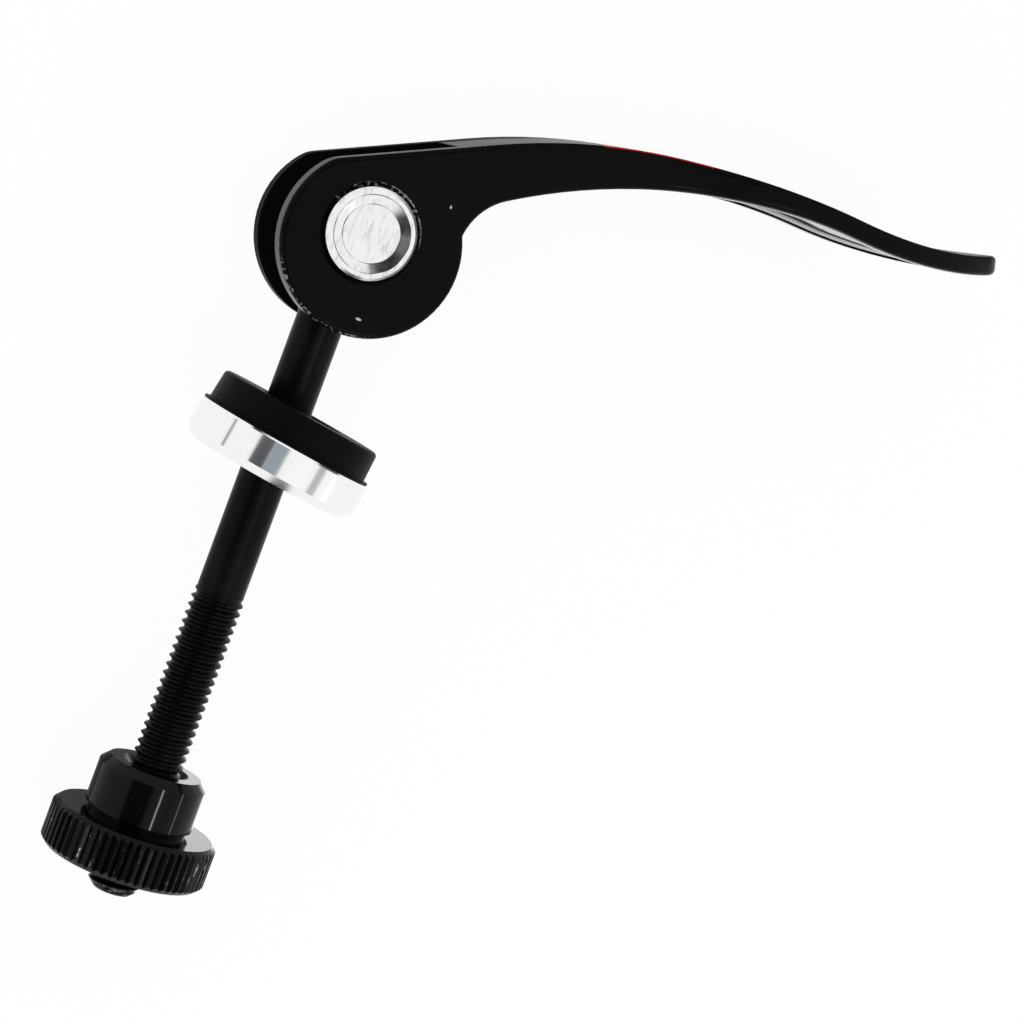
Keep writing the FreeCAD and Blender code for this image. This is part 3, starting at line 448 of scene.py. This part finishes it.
def threadRadius(angle, height):
    # rolled thread: a flat crest, a flat root and straight flanks between; the phase climbs one pitch a turn,
    # right-handed about +Y; the depth grows in from the shank over the run-in, and the end chamfer cuts it
    s = boltThread
    phase = np.mod(height / s["pitch"] - angle / (2 * math.pi), 1.0)
    fromCrest = np.abs(phase - 0.5)
    flankStart = s["crestShare"] / 2
    flankEnd = 0.5 - s["rootShare"] / 2
    flank = np.clip((fromCrest - flankStart) / (flankEnd - flankStart), 0.0, 1.0)
    full = s["crest"] - s["depth"] * flank
    grown = np.clip((s["start"] - height) / s["runIn"], 0.0, 1.0)
    radius = s["shank"] + (full - s["shank"]) * grown
    return np.minimum(radius, s["crest"] - s["chamfer"] + (height - s["end"]))


def makeBolt():
    s = boltThread
    joinHeight = s["start"] + s["joinAbove"]
    work = bmesh.new()
    work.from_mesh(cadNodes["eye_bolt"].data)
    bmesh.ops.remove_doubles(work, verts=work.verts, dist=s["weld"])
    everything = list(work.verts) + list(work.edges) + list(work.faces)
    bmesh.ops.bisect_plane(work, geom=everything, dist=s["weld"] / 10, plane_co=(0, joinHeight * mm, 0),
                           plane_no=(0, -1, 0), clear_outer=True)
    work.verts.ensure_lookup_table()
    work.verts.index_update()
    upper = np.array([v.co for v in work.verts])
    upperFaces = [[v.index for v in f.verts] for f in work.faces]
    work.free()
    # columns of the thread stand under the points of the cut shank
    rim = np.flatnonzero(np.abs(upper[:, 1] - joinHeight * mm) < s["weld"])
    angles = np.arctan2(upper[rim, 0], upper[rim, 2])
    order = np.argsort(angles)
    rim, angles = rim[order], angles[order]
    columns = len(rim)
    rows = int(round((joinHeight - s["end"]) / s["pitch"] * s["rowsPerPitch"]))
    heights = joinHeight + (s["end"] - joinHeight) * np.arange(1, rows + 1) / rows
    radius = threadRadius(angles[None, :], heights[:, None])
    # rings of the flat end shrink by even steps, the last a half step from the point in the middle
    shrink = 1 - np.arange(1, s["endRings"] + 1) / (s["endRings"] + 0.5)
    radius = np.vstack([radius, radius[-1] * shrink[:, None]])
    heights = np.concatenate([heights, np.full(s["endRings"], s["end"])])
    lower = np.stack([radius * np.sin(angles), np.broadcast_to(heights[:, None], radius.shape),
                      radius * np.cos(angles)], axis=-1).reshape(-1, 3) * mm
    points = np.vstack([upper, lower, [[0, s["end"] * mm, 0]]])
    grid = np.vstack([rim, len(upper) + np.arange(len(lower)).reshape(-1, columns)])
    nextColumn = np.roll(grid, -1, axis=1)
    quads = np.stack([grid[:-1], grid[1:], nextColumn[1:], nextColumn[:-1]], axis=-1).reshape(-1, 4)
    fan = np.stack([grid[-1], np.full(columns, len(points) - 1), nextColumn[-1]], axis=-1)
    mesh = bpy.data.meshes.new("eyeBolt")
    mesh.from_pydata(points.tolist(), [], upperFaces + quads.tolist() + fan.tolist())
    check = bmesh.new()
    check.from_mesh(mesh)
    bmesh.ops.recalc_face_normals(check, faces=check.faces)
    openEdges = sum(1 for e in check.edges if not e.is_manifold)
    check.to_mesh(mesh)
    check.free()
    mesh.shade_smooth()
    mesh.set_sharp_from_angle(angle=math.radians(s["sharpFrom"]))
    mesh.materials.append(finishes["eye_bolt"])
    bolt = bpy.data.objects.new("eyeBolt", mesh)
    bpy.context.scene.collection.objects.link(bolt)
    print("bolt:", columns, "columns,", rows, "rows,", len(mesh.polygons), "faces,", openEdges, "open edges")
    return bolt


eyeBolt = makeBolt()
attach(eyeBolt, "bolt")
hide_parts("eye_bolt")


# Stage: a pale floor that keeps a soft shadow, a white room, and small strip lights. Things in the room and
# on the floor show only in reflections.
stageSet = {
    "floorColour": "#fbfbfa", "floorReach": 4.0, "floorGlow": 0.94, "roomFill": 0.92,
    # in the room: azimuths from +Z towards +X and elevations towards +Y, in degrees, then how soft the edges
    # are, the tone and its strength
    "roomThings": [((-46, 5), (11, 48), 5.0, "#1c1c1c", 1.0), ((-43, -24), (-9, 12), 2.0, "#57575a", 1.0),
                   ((-24, -5), (-9, 12), 4.0, "#98a0a8", 1.0), ((-84, -81), (-2, 12), 0.5, "#3c3c3c", 1.0),
                   ((37, 48), (-12, 6), 4.0, "#b4b8ba", 1.0), ((-50, -2), (-40, -9), 12.0, "#202020", 1.0)],
    # on the floor, for the nut's flat tops: spans of X and of Y in mm, then the same
    "floorThings": [((-14.0, 3.0), (-26.0, -11.0), 3.0, "#7c7c7c", 1.0),
                    ((5.0, 17.0), (-26.0, -11.0), 3.0, "#ffffff", 2.6)],
    # strip lights about the nut's middle: azimuth and elevation, distance and size in metres, radiance
    "nutMiddle": (0.0, -0.020, 0.006),
    "strips": [("stripNear", (18.2, -13.5), 0.45, (0.018, 0.075), 34.0),
               ("stripFar", (64.0, -13.0), 0.45, (0.014, 0.075), 10.0)],
}


def traceRays(tree):
    # glossy rays, and all those that show a thing: straight from the camera, in a mirror or through glass
    rays = addNode(tree, "ShaderNodeLightPath").outputs
    shown = addNode(tree, mathNode, {"operation": "ADD"},
                    {0: rays["Is Camera Ray"], 1: rays["Is Glossy Ray"]})
    shown = addNode(tree, mathNode, {"operation": "ADD", "use_clamp": True},
                    {0: shown, 1: rays["Is Transmission Ray"]})
    return rays["Is Glossy Ray"], shown


def addThings(tree, glossy, values, unit, things):
    # white with soft patches: glossy rays see a thing where both values lie between its limits
    colour = addNode(tree, "ShaderNodeRGB").outputs[0]
    colour.default_value = (1, 1, 1, 1)
    for firstSpan, secondSpan, soft, tone, strength in things:
        mask = glossy
        for value, (low, high) in zip(values, (firstSpan, secondSpan)):
            half = (high - low) / 2
            fade = ((half + soft / 2) * unit, (half - soft / 2) * unit)
            off = addNode(tree, mathNode, {"operation": "SUBTRACT", 1: (low + high) / 2 * unit}, {0: value})
            off = addNode(tree, mathNode, {"operation": "ABSOLUTE"}, {0: off})
            within = addNode(tree, rangeNode, {"interpolation_type": "SMOOTHSTEP", (1, 2): fade}, {0: off})
            mask = addNode(tree, mathNode, multiply, {0: mask, 1: within})
        shine = tuple(c * strength for c in linear(tone)[:3]) + (1.0,)
        colour = addNode(tree, mixNode, {"data_type": "RGBA", 7: shine}, {0: mask, 6: colour}).outputs[2]
    return colour


def makeStage():
    s = stageSet
    reach = s["floorReach"]
    corners = [(-reach, -reach), (reach, -reach), (reach, reach), (-reach, reach)]
    mesh = bpy.data.meshes.new("floor")
    mesh.from_pydata([(x, y, cadLow.z) for x, y in corners], [], [(0, 1, 2, 3)])
    floor = bpy.data.objects.new("floor", mesh)
    bpy.context.scene.collection.objects.link(floor)
    material, tree = newMaterial("pale_floor")
    glossy, shown = traceRays(tree)
    share = addNode(tree, mathNode, {"operation": "MULTIPLY", 1: s["floorGlow"]}, {0: shown})
    paint = addNode(tree, "ShaderNodeBsdfDiffuse", {"Color": linear(s["floorColour"])})
    place = addNode(tree, "ShaderNodeTexCoord").outputs["Object"]
    axes = addNode(tree, splitNode, links={"Vector": place}).outputs
    colour = addThings(tree, glossy, (axes["X"], axes["Y"]), mm, s["floorThings"])
    glow = addNode(tree, "ShaderNodeEmission", {"Strength": 1.0}, {"Color": colour})
    mixed = addNode(tree, "ShaderNodeMixShader", links={0: share, 1: paint, 2: glow})
    addNode(tree, "ShaderNodeOutputMaterial", links={"Surface": mixed})
    mesh.materials.append(material)


def makeRoom():
    s = stageSet
    world = bpy.data.worlds.new("white_room")
    bpy.context.scene.world = world
    world.use_nodes = True
    tree = world.node_tree
    tree.nodes.clear()
    glossy, shown = traceRays(tree)
    way = addNode(tree, "ShaderNodeTexCoord").outputs["Generated"]
    axes = addNode(tree, splitNode, links={"Vector": way}).outputs
    azimuth = addNode(tree, mathNode, {"operation": "ARCTAN2"}, {0: axes["X"], 1: axes["Z"]})
    elevation = addNode(tree, mathNode, {"operation": "ARCSINE"}, {0: axes["Y"]})
    colour = addThings(tree, glossy, (azimuth, elevation), math.radians(1), s["roomThings"])
    seen = addNode(tree, "ShaderNodeBackground", {"Strength": 1.0}, {"Color": colour})
    fill = addNode(tree, "ShaderNodeBackground", {"Color": (1, 1, 1, 1), "Strength": s["roomFill"]})
    mixed = addNode(tree, "ShaderNodeMixShader", links={0: shown, 1: fill, 2: seen})
    addNode(tree, "ShaderNodeOutputWorld", links={"Surface": mixed})


def placed(place, side, up, back):
    # a matrix that stands at a place, turned to three axes
    return Matrix.Translation(place) @ Matrix((side, up, back)).transposed().to_4x4()


def makeStrip(name, direction, away, size, radiance):
    # a rectangular lamp that looks at the nut; its power is radiance times pi times area
    data = bpy.data.lights.new(name, "AREA")
    data.shape = "RECTANGLE"
    data.size, data.size_y = size
    data.energy = radiance * math.pi * size[0] * size[1]
    lamp = bpy.data.objects.new(name, data)
    bpy.context.scene.collection.objects.link(lamp)
    azimuth, elevation = (math.radians(angle) for angle in direction)
    back = Vector((math.sin(azimuth) * math.cos(elevation), math.sin(elevation),
                   math.cos(azimuth) * math.cos(elevation)))
    side = Vector((0, 1, 0)).cross(back).normalized()
    place = Vector(stageSet["nutMiddle"]) + back * away
    lamp.matrix_world = placed(place, side, back.cross(side), back)
    lamp.visible_camera = False


makeStage()
makeRoom()
for strip in stageSet["strips"]:
    makeStrip(*strip)
print("stage set")


# Camera: where the photo was taken from, by a fit to the skewer's edges
cameraSet = {"place": (-0.0722881, 0.0437690, 0.2834834), "right": (0.89063793, 0.35104313, 0.28902041),
             "up": (-0.30926060, 0.93360456, -0.18094310), "back": (-0.33334961, 0.07177216, 0.94006744),
             "lens": 94.93, "sensor": 36.0, "clip": (0.01, 20.0)}


def makeCamera():
    s = cameraSet
    data = bpy.data.cameras.new("camera")
    data.lens, data.sensor_width = s["lens"], s["sensor"]
    data.clip_start, data.clip_end = s["clip"]
    data.dof.use_dof = False
    camera = bpy.data.objects.new("camera", data)
    bpy.context.scene.collection.objects.link(camera)
    camera.matrix_world = placed(s["place"], s["right"], s["up"], s["back"])
    bpy.context.scene.camera = camera


makeCamera()
bpy.context.scene.view_settings.view_transform = "Standard"
print("camera set")

bpy.context.view_layer.update()
